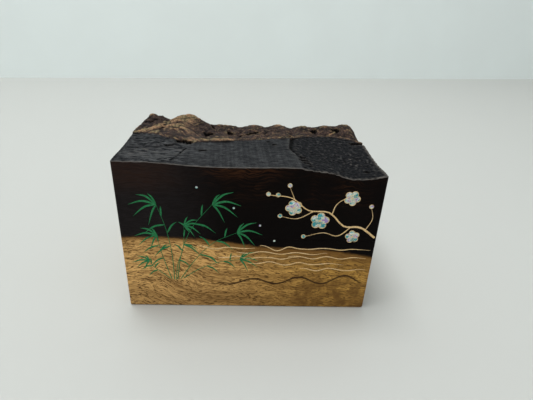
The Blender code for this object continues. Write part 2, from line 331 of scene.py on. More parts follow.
def skin_detail(u, w, behind):
    """Height of the rough skin, and how worn it is, with painted highlight on its ridges and painted shade
    in its hollows, by its distance behind the worked face.
    """
    place = Vector((u, w))
    from_ridge = min(distance_to(LONG_RIDGE, place), distance_to(SHORT_RIDGE, place))
    ridge = bell(from_ridge, RIDGE_REACH) * (0.85 + 0.3 * grain_at(u, w, 3.0, 3.0, seed=18.0))
    flank = bell(from_ridge, FLANK_REACH)
    valley = beside(place, CORNER_VALLEY, VALLEY_REACH)
    shade = beside(place, HUMP_FLANK, SHADE_REACH)
    tip = about(place, *CORNER_TIP)
    crown = about(place, *HUMP_CROWN)
    mound = about(place, *LOW_MOUND)
    lip = bell(behind - LIP_PLACE, LIP_REACH) * (0.66 + 0.85 * grain_at(u, w, 3.2, 3.0, seed=2.0))
    lip *= (1.0 - 0.8 * bell(u - 12.0, 4.5)) * (1.0 - 0.55 * smooth(44.0, 56.0, u))
    lip *= 0.55 + 0.45 * smooth(1.5, 5.0, u)
    gully = bell(behind - GULLY_PLACE, GULLY_REACH) * smooth(18.0, 23.0, u)
    side = 1.0 - smooth(-0.9, 0.7, u - along(SLOPE_END, w) - 0.5 * grain_at(u, w, 1.4, 1.8, seed=28.0))
    grooves = side * grain_at(u, w, 0.8, 5.0, seed=27.0)
    fall = 1.0 - 0.74 * smooth(11.0, 15.5, u) * (1.0 - smooth(34.0, 38.0, w))
    fall *= 0.4 + 0.6 * smooth(1.0, 5.0, u)
    knuckle = max(bell(u - middle, KNUCKLE_REACH) for middle in KNUCKLES) * smooth(42.5, 46.5, w)
    furrow = furrow_between(u, w, behind)
    lumps = rough_at(u, w, 1.3, 2.2, seed=1.0)
    drift = 1.6 * grain_at(u, w, 4.0, 6.0, seed=4.0) + 0.6 * grain_at(u, w, 1.6, 2.2, seed=19.0)
    flow = behind + drift + (from_ridge - behind - drift) * bell(from_ridge, 5.0)
    fibres = grain_at(flow, u, 0.55, 1.7, seed=3.0)
    strands = grain_at(flow, u, 1.2, 3.4, seed=53.0)
    streaks = grain_at(flow, u, 1.25, 9.0, seed=45.0)
    splinter = beside(place, SPLINTER, SPLINTER_REACH)
    height = 0.55 * ridge + 0.26 * lip - 0.50 * gully - 0.45 * furrow - 0.5 * valley + 0.5 * splinter
    height += (1 - 0.6 * flank) * (0.24 * lumps + 0.20 * fibres) + 0.20 * strands
    height += 0.35 * flank * streaks + 0.35 * grooves
    # Worn light wood and painted highlight on the ridges, the lip, the knuckles and the round patches
    bright = (0.86 * ridge + 0.58 * flank) * fall * (1.0 - 0.7 * side)
    bright += 0.50 * lip + 0.55 * knuckle * (1.0 - side) + 0.9 * tip + 0.42 * crown + 0.45 * mound
    wear_and_lighting = bright * (0.85 + 0.6 * fibres + 1.2 * streaks) + 0.30 * strands + 0.26 * lumps + 0.5 * grooves
    # Painted shade: darker in the gully, the furrows, the corner valley, on the hump's flank and on the
    # left slope
    wear_and_lighting += 2.0 * splinter - 0.5 * gully - 0.6 * furrow - 0.9 * valley - 0.30 * shade
    wear_and_lighting -= side * (0.10 + 0.35 * smooth(27.0, 36.0, w))
    return height, wear_and_lighting - WEAR_START


def worked_detail(u, w):
    """Height, smoothness with painted highlight and shade, and glints of the worked face."""
    place = Vector((u, w))
    past = u - along(PLANED_END, w) - 0.25 * rough_at(u, w, 1.3, 0.9, seed=9.0)
    torn = smooth(-0.05, 0.3, past)
    lens = turned(place - SCRAPED_CENTRE, SCRAPED_TURN)
    reach = math.hypot(lens.x / SCRAPED_RADII[0], lens.y / SCRAPED_RADII[1])
    scraped = 1.0 - smooth(0.7, 1.05, reach + 0.16 * rough_at(u, w, 2.2, 1.2, seed=17.0))
    planed = smooth(-2.5, 1.5, u - PLANED_FROM - 1.5 * grain_at(u, w, 2.0, 1.5, seed=21.0))
    planed *= 1.0 - torn
    rough = (1.0 - planed) * (1.0 - torn) * (1.0 - scraped)
    saw = grain_at(u + 0.06 * w, w, 0.7, 30.0, seed=6.0)
    fibre = rough_at(u, w, 2.6, 0.8, seed=22.0)
    from_centre = (place - RING_CENTRE).length + 1.3 * grain_at(u, w, 2.2, 2.2, seed=8.0)
    broken = smooth(-0.10, 0.35, grain_at(u, w, 2.0, 2.4, seed=25.0))
    rings = math.sin(2 * math.pi * from_centre / RING_SPACING) * broken
    rings *= 1.0 - smooth(*RING_REACH, from_centre)
    step = torn * bell(past - 0.8, 0.7) * smooth(10.0, 13.0, w)
    stain = about(place, *STAIN)
    stipple = grain_at(u, w, 0.7, 0.9, seed=12.0) + 0.8 * rough_at(u, w, 1.5, 1.4, seed=13.0)
    gouge = grain_at(u + 0.8 * w, w, 2.6, 1.1, seed=10.0) + 0.7 * rough_at(u, w, 1.0, 0.9, seed=11.0)
    crack = beside(place, CRACK, CRACK_REACH) * (0.8 + 0.8 * grain_at(u, w, 0.9, 0.9, seed=23.0))
    height = planed * (0.03 * saw + 0.05 * fibre) + torn * (0.20 * stipple + 0.10 * rings - 0.16)
    height += rough * (0.12 * gouge + 0.07 * fibre) + scraped * 0.06 * fibre - 0.30 * crack - 0.6 * step
    # Painted shade on the step and in the crack; the torn face's rings and stipple and the scraped patch's
    # streaks are partly painted highlight
    sleek_and_lighting = planed * (0.62 + 0.36 * saw + 0.34 * fibre - 0.30 * stain) + scraped * (1.15 + 2.5 * fibre)
    sleek_and_lighting += rough * (0.58 + 1.0 * gouge) + torn * (0.02 + 0.34 * rings + 0.62 * stipple)
    sleek_and_lighting -= 0.8 * crack + 0.4 * step
    glints = 0.8 * torn * smooth(0.42, 0.85, stipple) * (0.15 + 0.85 * bell(from_centre, 4.0))
    glints += 0.34 * scraped * smooth(0.05, 0.45, fibre)
    return height, sleek_and_lighting, glints


def rim_wear_and_highlight(u, w):
    """How far the worked face is rubbed pale along its outer edge, with a painted highlight on it."""
    from_edge = min(w, WIDTH / MM - u)
    width = 0.34 + 0.35 * smooth(50.0, 60.0, u)
    return bell(from_edge, width) * (0.8 + 0.6 * grain_at(u, w, 1.5, 0.8, seed=14.0))


def top_detail(u, w):
    """Fine height of the top, and how far a place is skin, worn with painted highlight and shade, painted
    dark with shade in its holes, and smooth with painted highlight and shade.
    """
    edge = along(SKIN_EDGE, u) + 0.30 * grain_at(u, w, 1.1, 1.1, seed=20.0)
    behind = w - edge
    skin = smooth(-0.2, 0.3, behind)
    skin_height, wear_and_lighting = skin_detail(u, w, behind) if skin > 0 else (0.0, 0.0)
    worked_height, sleek_and_lighting, glints = worked_detail(u, w) if skin < 1 else (0.0, 0.0, 0.0)
    pit = hole_depth(Vector((u, w)))
    height = skin * skin_height + (1 - skin) * worked_height - pit
    wear_and_lighting = skin * wear_and_lighting + (1 - skin) * (rim_wear_and_highlight(u, w) + glints)
    return height, skin, wear_and_lighting, min(1.0, pit / DARK_DEPTH), sleek_and_lighting * (1 - skin)


# Node materials


class Recipe:
    """A node material being put together."""

    def __init__(self, name):
        self.material = bpy.data.materials.new(name)
        self.material.use_nodes = True
        self.tree = self.material.node_tree
        self.shader = self.tree.nodes["Principled BSDF"]

    def feed(self, socket, value):
        """Links a socket to another, or sets it."""
        if isinstance(value, bpy.types.NodeSocket):
            self.tree.links.new(value, socket)
        elif socket.type == "RGBA":
            socket.default_value = (*value[:3], 1.0)
        else:
            socket.default_value = value

    def node(self, kind, inputs, **settings):
        made = self.tree.nodes.new(kind)
        for name, value in settings.items():
            setattr(made, name, value)
        for name, value in inputs.items():
            self.feed(made.inputs[name], value)
        return made

    def surface(self, **sockets):
        """Sets or links the shader's own sockets, spaces written as underscores."""
        for name, value in sockets.items():
            self.feed(self.shader.inputs[name.replace("_", " ")], value)
        return self.material

    def millimetres(self):
        """The place in the block, in millimetres."""
        return self.stretched(self.node("ShaderNodeTexCoord", {}).outputs["Object"], (1 / MM,) * 3)

    def stretched(self, vector, scale):
        return self.node("ShaderNodeMapping", {"Vector": vector, "Scale": scale}).outputs["Vector"]

    def math(self, operation, *values):
        made = self.node("ShaderNodeMath", {}, operation=operation)
        for socket, value in zip(made.inputs, values):
            self.feed(socket, value)
        return made.outputs[0]

    def less(self, first, second):
        return self.math("SUBTRACT", first, second)

    def times(self, first, *others):
        for value in others:
            first = self.math("MULTIPLY", first, value)
        return first

    def plus(self, first, *others):
        for value in others:
            first = self.math("ADD", first, value)
        return first

    def noise(self, vector, scale=1.0, detail=2.0, roughness=0.5, output="Fac"):
        inputs = {"Vector": vector, "Scale": scale, "Detail": detail, "Roughness": roughness}
        return self.node("ShaderNodeTexNoise", inputs).outputs[output]

    def between(self, value, low, high, start=0.0, end=1.0):
        """start up to low, end from high, and a smooth change between them."""
        inputs = {"Value": value, "From Min": low, "From Max": high, "To Min": start, "To Max": end}
        made = self.node("ShaderNodeMapRange", inputs, interpolation_type="SMOOTHSTEP")
        return made.outputs["Result"]

    def blend(self, share, first, second):
        made = self.node("ShaderNodeMix", {}, data_type="RGBA")
        for name, value in (("Factor_Float", share), ("A_Color", first), ("B_Color", second)):
            self.feed(next(s for s in made.inputs if s.identifier == name), value)
        return next(s for s in made.outputs if s.identifier == "Result_Color")

    def vectors(self, operation, first, second):
        made = self.node("ShaderNodeVectorMath", {}, operation=operation)
        self.feed(made.inputs[0], first)
        self.feed(made.inputs["Scale"] if operation == "SCALE" else made.inputs[1], second)
        return made.outputs[0]

    def drifted(self, vector, scale, amount, detail=1.0):
        """The place, pushed about by slow noise, so that what is laid on it bends."""
        cloud = self.noise(vector, scale=scale, detail=detail, output="Color")
        push = self.vectors("SCALE", self.vectors("SUBTRACT", cloud, (0.5, 0.5, 0.5)), amount)
        return self.vectors("ADD", vector, push)

    def curve(self, value, points):
        """The smooth curve through the points, both axes from 0 to 1."""
        made = self.node("ShaderNodeFloatCurve", {"Value": value})
        curve = made.mapping.curves[0]
        curve.points[0].location = points[0]
        curve.points[1].location = points[-1]
        for point in points[1:-1]:
            curve.points.new(*point)
        made.mapping.update()
        return made.outputs["Value"]

    def attribute(self, name):
        return self.node("ShaderNodeAttribute", {}, attribute_name=name).outputs["Fac"]

    def bump(self, height, distance, strength):
        inputs = {"Height": height, "Distance": distance, "Strength": strength}
        return self.node("ShaderNodeBump", inputs).outputs["Normal"]


# Edge of the black heartwood on the front: share of the width, height as a share of 50 mm
HEARTWOOD_EDGE = (
    (0.0, 0.516),
    (0.14, 0.520),
    (0.26, 0.514),
    (0.40, 0.494),
    (0.52, 0.468),
    (0.66, 0.456),
    (0.82, 0.446),
    (0.92, 0.424),
    (1.0, 0.404),
)
HEARTWOOD_SCALE = 50.0
# The edge's rise inside the block: at first, how it steepens, and how much more at the right end
EDGE_SLOPE, EDGE_BEND, EDGE_AT_RIGHT, EDGE_FRAY = 0.55, 0.011, 1.32, 2.0
ARCH_PLACE, ARCH_SPREAD, ARCH_RISE = (5.0, 10.0), (14.5, 21.0), 7.5


def above_heartwood_edge(w, place, across, inward, z):
    """Millimetres above the surface inside the block where brown wood gives way to black."""
    height = w.times(w.curve(across, HEARTWOOD_EDGE), HEARTWOOD_SCALE)
    rise = w.plus(w.times(inward, EDGE_SLOPE), w.times(inward, inward, EDGE_BEND))
    rise = w.times(rise, w.between(across, 0.0, 1.0, 1.0, EDGE_AT_RIGHT))
    frayed = w.noise(w.stretched(place, (0.25, 0.8, 0.9)), detail=5.0, roughness=0.65)
    above = w.less(z, w.plus(height, rise))
    return w.plus(above, w.times(w.less(frayed, 0.5), EDGE_FRAY))


# Mineral line: where it begins, its level and swing there and what each gains in a millimetre, and
# a place where its wave crosses that level with the wave's length
LINE_START = 32.0
LINE_LEVEL, LINE_CLIMB = 10.1, 0.04
LINE_SWING, LINE_GROWTH = 0.85, 0.02
LINE_CROSSING, LINE_WAVE = 35.2, 14.2


def mineral_line(w, from_left, z):
    """The thin dark line that waves through the brown wood low on the front."""
    wave = w.math("SINE", w.times(w.less(from_left, LINE_CROSSING), 2 * math.pi / LINE_WAVE))
    run = w.less(from_left, LINE_START)
    swing = w.plus(LINE_SWING, w.times(run, LINE_GROWTH))
    level = w.plus(LINE_LEVEL, w.times(run, LINE_CLIMB), w.times(wave, swing))
    off = w.less(z, level)
    share = w.times(w.between(from_left, 27.0, 33.0), w.between(from_left, 71.0, 74.5, 1.0, 0.0))
    return w.times(w.between(w.math("ABSOLUTE", off), 0.14, 0.50, 1.0, 0.0), share)


def arched(w, place, from_left, z):
    """The place, moved so that level grain rises in an arch at the lower left."""
    offsets = [
        w.math("DIVIDE", w.less(value, middle), spread)
        for value, middle, spread in zip((from_left, z), ARCH_PLACE, ARCH_SPREAD)
    ]
    squares = w.plus(*(w.times(offset, offset) for offset in offsets))
    rise = w.times(w.math("EXPONENT", w.times(squares, -1.0)), ARCH_RISE)
    return w.vectors("SUBTRACT", place, w.node("ShaderNodeCombineXYZ", {"Z": rise}).outputs[0])


def brown_wood(w, wood, grain, slow, across, z):
    """Banded, flecked brown wood: paler at the left, amber and quilted at the lower right."""
    low_right = w.times(w.between(across, 0.35, 0.85), w.between(z, 4.0, 20.0, 1.0, 0.25))
    bands = w.noise(w.stretched(grain, (0.03, 0.24, 0.46)), detail=5.0, roughness=0.6)
    ripples = w.noise(w.stretched(grain, (0.16, 1.3, 2.4)), detail=4.0, roughness=0.65)
    flecks = w.noise(w.stretched(grain, (0.55, 2.4, 4.0)), detail=2.0, roughness=0.55)
    quilt = w.noise(w.stretched(slow, (0.26, 0.2, 0.19)), detail=4.0, roughness=0.6)
    light = w.blend(w.between(across, 0.2, 0.9), wood.tan, wood.amber)
    colour = w.blend(w.between(bands, 0.36, 0.60, 0.5, 0.0), light, wood.brown)
    colour = w.blend(w.between(ripples, 0.46, 0.66, 0.0, 0.65), colour, wood.brown)
    colour = w.blend(w.between(flecks, 0.525, 0.60, 0.0, 0.92), colour, wood.fleck)
    return w.blend(w.times(w.between(quilt, 0.36, 0.64, 0.0, 0.9), low_right), colour, wood.brown)


def black_wood(w, wood, place, across, z):
    """Black heartwood: a painted grey reflection at the left, and reddish curls under the top edge and at
    the right.
    """
    curl = w.times(w.math("SINE", w.times(across, 46.0)), w.between(across, 0.3, 0.55), 0.55)
    lifted = w.vectors("SUBTRACT", place, w.node("ShaderNodeCombineXYZ", {"Z": curl}).outputs[0])
    swirl = w.drifted(w.stretched(lifted, (1.0, 1.0, 1.4)), 0.16, 5.0, detail=2.0)
    figure = w.noise(w.stretched(swirl, (0.11, 0.7, 2.1)), detail=5.0, roughness=0.62)
    patches = w.noise(place, scale=0.08, detail=2.0)
    high = w.between(z, 31.0, 46.5)
    amount = w.times(w.between(figure, 0.46, 0.66, 0.0, 0.38), w.between(patches, 0.34, 0.58), high)
    amount = w.times(amount, w.between(across, 0.22, 0.48, 0.12, 1.0))
    ends = w.times(w.between(across, 0.26, 0.42), w.between(across, 0.50, 0.68, 1.0, 0.12))
    under_rim = w.times(w.between(z, 43.8, 47.6), ends, w.between(figure, 0.42, 0.62, 0.0, 0.75))
    warm_corner = w.times(w.between(across, 0.10, 0.32, 0.30, 0.0), w.between(z, 38.0, 46.0))
    warm_corner = w.times(warm_corner, w.between(figure, 0.40, 0.60, 0.5, 1.0))
    amount = w.math("MAXIMUM", w.math("MAXIMUM", amount, under_rim), warm_corner)
    streaks = w.noise(w.stretched(swirl, (0.22, 1.0, 2.6)), detail=3.0, roughness=0.6)
    # Painted reflection in streaks on the heartwood at the left
    left = w.times(w.between(across, 0.12, 0.45, 1.0, 0.0), w.between(streaks, 0.38, 0.62, 0.55, 1.0))
    return w.blend(amount, w.blend(left, wood.black, wood.painted_sheen), wood.umber)


def figured_wood(wood):
    """The polished solid wood of the block's sides."""
    w = Recipe("figured wood")
    place = w.millimetres()
    x, y, z = w.node("ShaderNodeSeparateXYZ", {"Vector": place}).outputs
    from_left = w.less(x, LEFT / MM)
    across = w.math("DIVIDE", from_left, WIDTH / MM)
    inward = w.less(y, FRONT / MM)
    slow = w.drifted(arched(w, place, from_left, z), 0.05, 6.0)
    grain = w.drifted(slow, 0.26, 1.7)
    above = above_heartwood_edge(w, grain, across, inward, z)
    brown = brown_wood(w, wood, grain, slow, across, z)
    reach = w.between(across, 0.25, 0.6, -2.5, -6.5)
    brown = w.blend(w.between(above, reach, 0.3, 0.0, 0.9), brown, wood.brown)
    # Painted shade: the brown wood darker near the underside, more so at the right
    painted_foot_shade = w.times(w.between(z, 1.0, 11.0, 0.27, 0.0), w.between(across, 0.45, 0.9, 1.0, 1.7))
    brown = w.blend(painted_foot_shade, brown, wood.brown)
    brown = w.blend(w.times(mineral_line(w, from_left, z), 0.92), brown, wood.line)
    black = black_wood(w, wood, place, across, z)
    colour = w.blend(w.between(above, -0.6, 0.7), brown, black)
    return w.surface(Base_Color=colour, Roughness=0.36, Specular_IOR_Level=0.035)


def top_wood(wood):
    """The worked black face and the rough skin of the top."""
    w = Recipe("worked top")
    place = w.millimetres()
    skin, wear_and_lighting = w.attribute("skin"), w.attribute("wear_and_lighting")
    pit, sleek_and_lighting = w.attribute("pit"), w.attribute("sleek_and_lighting")
    fibre = w.noise(w.stretched(place, (0.45, 1.3, 1.3)), detail=5.0, roughness=0.7)
    mottle = w.noise(place, scale=0.30, detail=5.0, roughness=0.65)
    fine = w.noise(w.stretched(place, (1.1, 0.8, 1.0)), detail=5.0, roughness=0.75)
    grit = w.noise(w.stretched(place, (2.4, 1.6, 2.2)), detail=4.0, roughness=0.7)
    worked = w.blend(w.between(sleek_and_lighting, 0.0, 1.3), wood.torn, wood.worked)
    worked = w.blend(w.between(fibre, 0.38, 0.54, 0.75, 0.0), worked, wood.torn)
    worked = w.blend(w.between(mottle, 0.40, 0.56, 0.45, 0.0), worked, wood.torn)
    # Pale rubbed wood and painted highlight along the edge and at the glints
    worked = w.blend(w.times(wear_and_lighting, 0.8), worked, wood.rubbed)
    cloud = w.noise(place, scale=0.35, detail=4.0, roughness=0.6)
    rough = w.blend(w.between(cloud, 0.40, 0.60), wood.skin, wood.bark)
    worn = w.times(w.between(wear_and_lighting, 0.0, 1.05, 0.0, 0.95), w.between(grit, 0.36, 0.58, 0.4, 1.0))
    crest = w.blend(w.between(cloud, 0.42, 0.60), wood.crest, wood.dull_crest)
    rough = w.blend(w.plus(worn, w.between(grit, 0.52, 0.66, 0.0, 0.2)), rough, crest)
    rough = w.blend(w.between(grit, 0.36, 0.50, 0.8, 0.0), rough, wood.bark)
    # Painted shade in the holes and in the relief's hollows
    colour = w.blend(pit, w.blend(skin, worked, rough), wood.hole)
    return w.surface(
        Base_Color=colour,
        Roughness=w.between(sleek_and_lighting, 0.0, 1.2, 0.72, 0.64),
        Specular_IOR_Level=0.08,
        Specular_Tint=(0.34, 0.34, 0.36),
        Normal=w.bump(fine, 0.0008, 0.9),
    )


def lining_lacquer(wood):
    """The thin dark lacquer of the hollow and the seat."""
    w = Recipe("lining lacquer")
    grain = w.noise(w.stretched(w.drifted(w.millimetres(), 0.06, 5.0), (0.10, 0.8, 0.9)), detail=5.0)
    colour = w.blend(w.between(grain, 0.4, 0.65), wood.lining, wood.lining_grain)
    return w.surface(Base_Color=colour, Roughness=0.38, Normal=w.bump(grain, 0.00005, 0.3))


def gold_powder(drawing):
    """Sprinkled gold, duller where the grains are sparse."""
    w = Recipe("gold powder")
    place = w.millimetres()
    grains = w.noise(place, scale=9.0, detail=2.0, roughness=0.7)
    worn = w.noise(place, scale=0.5, detail=2.0)
    colour = w.blend(w.between(grains, 0.35, 0.6), drawing.sparse_gold, drawing.gold)
    colour = w.blend(w.between(worn, 0.45, 0.7, 0.0, 0.4), colour, drawing.pale_gold)
    bump = w.bump(grains, 0.00003, 0.5)
    return w.surface(Base_Color=colour, Metallic=0.35, Roughness=0.45, Normal=bump)


def green_lacquer(drawing):
    """Green lacquer with a soft mottle."""
    w = Recipe("green lacquer")
    mottle = w.noise(w.millimetres(), scale=1.6, detail=3.0, roughness=0.6)
    colour = w.blend(w.between(mottle, 0.35, 0.65), drawing.green, drawing.light_green)
    return w.surface(
        Base_Color=colour,
        Roughness=0.35,
        Specular_IOR_Level=0.2,
        Normal=w.bump(mottle, 0.00003, 0.4),
    )


def pearl_shell(drawing):
    """Thin shell whose colour drifts from cream through teal to violet."""
    w = Recipe("pearl shell")
    place = w.millimetres()
    drift = w.noise(w.stretched(place, (0.55, 0.4, 0.8)), detail=3.0, roughness=0.55)
    colour = w.blend(w.between(drift, 0.41, 0.53), drawing.teal, drawing.shell)
    colour = w.blend(w.between(drift, 0.55, 0.63), colour, drawing.violet)
    fine = w.noise(w.stretched(place, (1.0, 1.0, 5.0)), scale=2.0, detail=2.0)
    return w.surface(Base_Color=colour, Roughness=0.16, Metallic=0.25, Normal=w.bump(fine, 0.00002, 0.4))


# Shaping

# Degrees that an edge may turn before it looks sharp: on the wood, and on the drawing
WOOD_SHARPEST, DRAWN_SHARPEST = 30, 65


def mesh_from(bm, name):
    mesh = bpy.data.meshes.new(name)
    bm.to_mesh(mesh)
    bm.free()
    return mesh


def shade_smooth(bm, sharpest):
    """Smooths the shading, but for edges that turn by more than this angle."""
    for face in bm.faces:
        face.smooth = True
    for edge in bm.edges:
        edge.smooth = edge.calc_face_angle(0.0) < math.radians(sharpest)


def round_edges(bm, edges, radius, segments):
    bmesh.ops.bevel(
        bm,
        geom=edges,
        offset=radius,
        offset_type="OFFSET",
        segments=segments,
        profile=0.5,
        affect="EDGES",
        material=-1,
        clamp_overlap=True,
    )


def extruded(bm, edges):
    """Draws a ring of edges out into new faces. Gives the new ring's edges and points."""
    made = bmesh.ops.extrude_edge_only(bm, edges=edges)["geom"]
    points = [v for v in made if isinstance(v, bmesh.types.BMVert)]
    ring = set(points)
    return [e for e in made if isinstance(e, bmesh.types.BMEdge) and ring.issuperset(e.verts)], points


def hollow_mesh(name, blind, mouth, land):
    """A lined hollow, from its blind end to its mouth and over the land beyond.

    Each step of the land is how far out from the hollow's wall, and at what height.
    """
    half = Vector((WIDTH / 2, DEPTH / 2)) - Vector((1, 1)) * (SEAT_WIDTH + LIP_THICKNESS)
    bm = bmesh.new()
    plan = Matrix.Diagonal((half.x, half.y, 1.0, 1.0))
    made = bmesh.ops.create_grid(bm, x_segments=1, y_segments=1, size=1.0, matrix=plan)
    bmesh.ops.bevel(
        bm,
        geom=made["verts"],
        offset=HOLLOW_RADIUS,
        segments=CORNER_SEGMENTS,
        profile=0.5,
        affect="VERTICES",
        material=-1,
    )
    up = math.copysign(1.0, mouth - blind)
    turns = [math.pi / 2 * i / FILLET_SEGMENTS for i in range(FILLET_SEGMENTS + 1)]
    fillet = [
        (HOLLOW_FILLET * (math.sin(turn) - 1), blind + up * HOLLOW_FILLET * (1 - math.cos(turn)))
        for turn in turns
    ]
    ring, points = list(bm.edges), list(bm.verts)
    centres = half - Vector((1, 1)) * HOLLOW_RADIUS
    for number, (out, height) in enumerate(fillet + [(0.0, mouth)] + land):
        if number:
            ring, points = extruded(bm, ring)
        for point in points:
            centre = Vector((math.copysign(centres.x, point.co.x), math.copysign(centres.y, point.co.y)))
            outward = (point.co.xy - centre).normalized() * (HOLLOW_RADIUS + out)
            point.co = (*(centre + outward), height)
    for face in bm.faces:
        face.material_index = 1
    return mesh_from(bm, name)


def join_hollow(bm, rim, hollow):
    """Adds the hollow to the open block, and closes the seat between their rims."""
    known = set(bm.verts)
    bm.from_mesh(hollow)
    bpy.data.meshes.remove(hollow)
    inner = [e for e in bm.edges if e.is_boundary and known.isdisjoint(e.verts)]
    bmesh.ops.bridge_loops(bm, edges=inner + rim)
    bmesh.ops.recalc_face_normals(bm, faces=bm.faces)
    shade_smooth(bm, WOOD_SHARPEST)


def piece_from(bm, name, materials, slot, *nodes):
    """Makes the finished mesh a piece of the box, in place of the solids named."""
    mesh = mesh_from(bm, name)
    for material in materials:
        mesh.materials.append(bpy.data.materials[material])
    piece = bpy.data.objects.new(name, mesh)
    bpy.context.scene.collection.objects.link(piece)
    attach(piece, "root")
    if nodes:
        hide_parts(*nodes)


def open_block(bm, bottom, top):
    """The lower half's outer faces, open at the top. Gives the edges of its rim."""
    size = Matrix.Diagonal((WIDTH, DEPTH, top - bottom, 1.0))
    bmesh.ops.create_cube(bm, size=1.0, matrix=Matrix.Translation((0, 0, (bottom + top) / 2)) @ size)
    upright = [e for e in bm.edges if abs(e.verts[0].co.z - e.verts[1].co.z) > MM]
    round_edges(bm, upright, BLOCK_RADIUS, UPRIGHT_SEGMENTS)
    for height, radius in ((bottom, BLOCK_RADIUS), (top, SEAM_EASE)):
        level = [e for e in bm.edges if all(abs(v.co.z - height) < SAME_PLACE for v in e.verts)]
        round_edges(bm, level, radius, LEVEL_SEGMENTS)
    cover = max(bm.faces, key=lambda face: face.calc_center_median().z)
    rim = list(cover.edges)
    bmesh.ops.delete(bm, geom=[cover], context="FACES_ONLY")
    return rim


# Grid lines over the top's eased edge, as shares of its width
EDGE_LINES = (0.0, 0.13, 0.5, 1.0)
# How far inside the upright edges the solid's top is felt, as a share of their rounding
FELT_INSIDE = 0.6


def spaced(index, count, length, arris):
    """Place of a grid line from the start: even, but closer over the eased edges."""
    last = len(EDGE_LINES) - 1
    if index <= last:
        return EDGE_LINES[index] * arris
    if index >= count - last:
        return length - EDGE_LINES[count - index] * arris
    return arris + (index - last) / (count - 2 * last) * (length - 2 * arris)


# Rounds of smoothing: to take the facets off the solid's top, and to find a place's mean height
SOFTEN_ROUNDS, MEAN_ROUNDS = 12, 30
# Rubbing for a millimetre that a place stands out, its least and most, and the worked face's share
RUB, RUB_LIMITS, WORKED_SHARE = 2.4, (-0.4, 0.5), 0.35
# Painted shade for a millimetre of depth on the worked face, what the skin takes less, start and limit
HOLLOW_SHADE, SKIN_SHADE_LESS, SHADE_START, SHADE_LIMIT = 7.0, 3.6, 0.25, 0.85


def flatten(bm, rounds):
    for _ in range(rounds):
        bmesh.ops.smooth_vert(bm, verts=bm.verts, factor=0.5, use_axis_z=True)


def carved_top(bm, block):
    """The relief of the top, with its finish and its painted highlight and shade as attributes."""
    columns, rows = round(WIDTH / block.pitch), round(DEPTH / block.pitch)
    layers = [bm.verts.layers.float.new(name) for name in ("skin", "wear_and_lighting", "pit", "sleek_and_lighting")]
    bmesh.ops.create_grid(bm, x_segments=columns, y_segments=rows, size=0.5)
    tree = BVHTree.FromObject(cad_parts["lid"], bpy.context.evaluated_depsgraph_get())
    reach = Vector((WIDTH / 2, DEPTH / 2)) - Vector((1, 1)) * BLOCK_RADIUS * FELT_INSIDE
    for vertex in bm.verts:
        x = LEFT + spaced(round((vertex.co.x + 0.5) * columns), columns, WIDTH, block.arris)
        y = FRONT + spaced(round((vertex.co.y + 0.5) * rows), rows, DEPTH, block.arris)
        over = Vector((clamped(x, -reach.x, reach.x), clamped(y, -reach.y, reach.y), 1.0))
        vertex.co = (x, y, tree.ray_cast(over, Vector((0, 0, -1)))[0].z)
    flatten(bm, SOFTEN_ROUNDS)
    for vertex in bm.verts:
        height, *finish = top_detail((vertex.co.x - LEFT) / MM, (vertex.co.y - FRONT) / MM)
        vertex.co.z += height * MM
        for layer, value in zip(layers, finish):
            vertex[layer] = value
    rub_and_shade(bm, *layers[:3])
    for vertex in bm.verts:
        ease_outline(vertex, block.arris)
    for face in bm.faces:
        face.material_index = 2


def rub_and_shade(bm, skin, wear_and_lighting, pit):
    """Rubs what stands out of the relief, and paints shade on what lies deep in it."""
    heights = [v.co.z for v in bm.verts]
    flatten(bm, MEAN_ROUNDS)
    for vertex, height in zip(bm.verts, heights):
        bulge = (height - vertex.co.z) / MM
        vertex.co.z = height
        share = WORKED_SHARE + (1 - WORKED_SHARE) * vertex[skin]
        rubbed = vertex[wear_and_lighting] + share * clamped(RUB * bulge, *RUB_LIMITS)
        vertex[wear_and_lighting] = clamped(rubbed, 0.0, 1.0)
        shaded = -(HOLLOW_SHADE - SKIN_SHADE_LESS * vertex[skin]) * bulge - SHADE_START
        vertex[pit] = min(1.0, vertex[pit] + clamped(shaded, 0.0, SHADE_LIMIT))


def ease_outline(vertex, arris):
    """Rounds the plan's corners and the top's outer edge."""
    x, y = vertex.co.xy
    off_x, off_y = abs(x) - (WIDTH / 2 - BLOCK_RADIUS), abs(y) - (DEPTH / 2 - BLOCK_RADIUS)
    inside = min(WIDTH / 2 - abs(x), DEPTH / 2 - abs(y))
    if inside < arris:
        vertex.co.z -= arris - math.sqrt(arris**2 - (arris - inside) ** 2)
    if off_x > 0 and off_y > 0:
        share = max(off_x, off_y) / math.hypot(off_x, off_y)
        vertex.co.x = math.copysign(WIDTH / 2 - BLOCK_RADIUS + off_x * share, x)
        vertex.co.y = math.copysign(DEPTH / 2 - BLOCK_RADIUS + off_y * share, y)


# Drawing on the front. Places are (from the left, above the underside), in millimetres

STROKE_SIDES = 6
LEAST_HALF_WIDTH = 0.03
SEAM_CLEARANCE = 0.04 * MM
